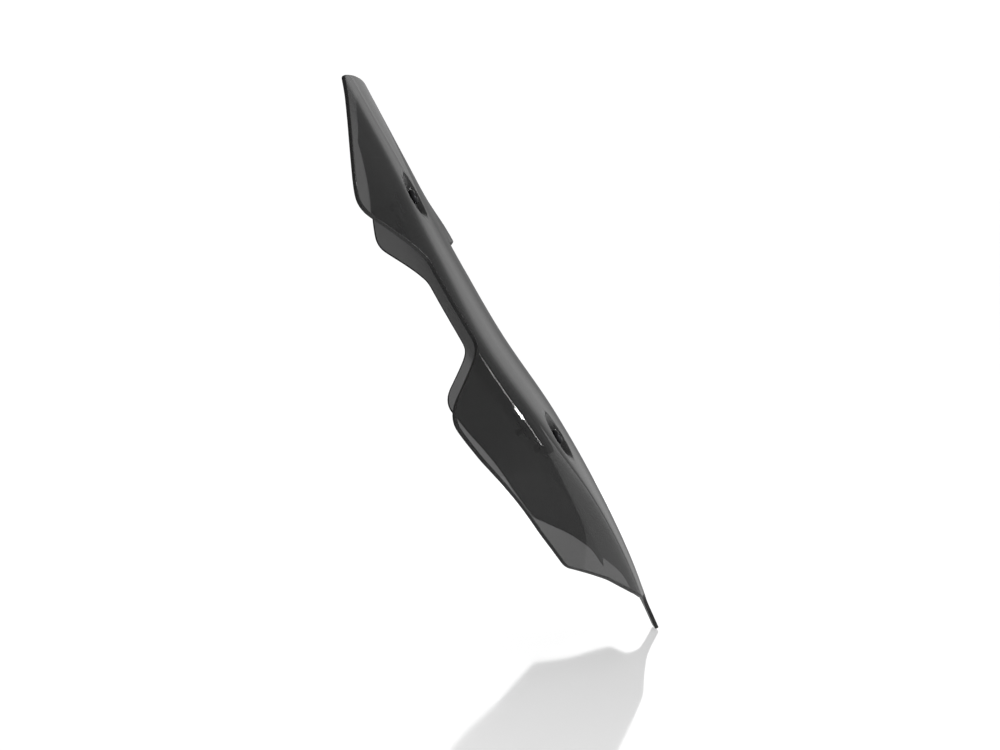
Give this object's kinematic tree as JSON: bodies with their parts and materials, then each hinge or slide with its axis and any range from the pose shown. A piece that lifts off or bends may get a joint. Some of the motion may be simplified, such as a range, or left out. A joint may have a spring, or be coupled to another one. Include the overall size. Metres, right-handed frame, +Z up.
{
  "type": "motorcycle windshield screen",
  "caption": "Smoked windshield screen for a motorcycle: a formed sheet with winged sides, vent hood and tongue, held by screws in grommeted dimples.",
  "frame": {"origin": "tip of the tongue at the bottom edge, on the front face and on the plane of symmetry", "axes": "+X forward, the way the motorcycle rides; +Y to the rider's left; +Z up, with the screen leaning back as mounted"},
  "size_m": [0.2063, 0.402, 0.3629],
  "materials": {
    "smoked_acrylic": "dark smoked, glossy, see-through",
    "black_rubber": "matte black",
    "anodised_alloy": "satin clear anodised",
    "black_nylon": "matte black",
    "blackened_steel": "black oxide, satin"
  },
  "bodies": {
    "screen_set": {"screen": "smoked_acrylic", "grommet_upper_left": "black_rubber", "collar_upper_left": "anodised_alloy", "grommet_upper_right": "black_rubber", "collar_upper_right": "anodised_alloy", "grommet_lower_left": "black_rubber", "collar_lower_left": "anodised_alloy", "grommet_lower_right": "black_rubber", "collar_lower_right": "anodised_alloy"},
    "washer_upper_left_set": {"washer_upper_left": "black_nylon"},
    "screw_upper_left_set": {"screw_upper_left": "blackened_steel"},
    "washer_upper_right_set": {"washer_upper_right": "black_nylon"},
    "screw_upper_right_set": {"screw_upper_right": "blackened_steel"},
    "washer_lower_left_set": {"washer_lower_left": "black_nylon"},
    "screw_lower_left_set": {"screw_lower_left": "blackened_steel"},
    "washer_lower_right_set": {"washer_lower_right": "black_nylon"},
    "screw_lower_right_set": {"screw_lower_right": "blackened_steel"}
  },
  "joints": [
    {"name": "draw_upper_left", "type": "slide", "parent": "screen_set", "child": "washer_upper_left_set", "axis": [0.8698, 0.1703, 0.463], "range_m": [0, 0.02]},
    {"name": "turn_upper_left", "type": "hinge", "parent": "washer_upper_left_set", "child": "screw_upper_left_set", "pos_m": [-0.1675, 0.10918, 0.27961], "axis": [0.8698, 0.1703, 0.463], "continuous": true},
    {"name": "draw_upper_right", "type": "slide", "parent": "screen_set", "child": "washer_upper_right_set", "axis": [0.8698, -0.1703, 0.463], "range_m": [0, 0.02]},
    {"name": "turn_upper_right", "type": "hinge", "parent": "washer_upper_right_set", "child": "screw_upper_right_set", "pos_m": [-0.1675, -0.10918, 0.27961], "axis": [0.8698, -0.1703, 0.463], "continuous": true},
    {"name": "draw_lower_left", "type": "slide", "parent": "screen_set", "child": "washer_lower_left_set", "axis": [0.8435, 0.1626, 0.5119], "range_m": [0, 0.02]},
    {"name": "turn_lower_left", "type": "hinge", "parent": "washer_lower_left_set", "child": "screw_lower_left_set", "pos_m": [-0.0794, 0.12222, 0.13193], "axis": [0.8435, 0.1626, 0.5119], "continuous": true},
    {"name": "draw_lower_right", "type": "slide", "parent": "screen_set", "child": "washer_lower_right_set", "axis": [0.8435, -0.1626, 0.5119], "range_m": [0, 0.02]},
    {"name": "turn_lower_right", "type": "hinge", "parent": "washer_lower_right_set", "child": "screw_lower_right_set", "pos_m": [-0.0794, -0.12222, 0.13193], "axis": [0.8435, -0.1626, 0.5119], "continuous": true}
  ]
}
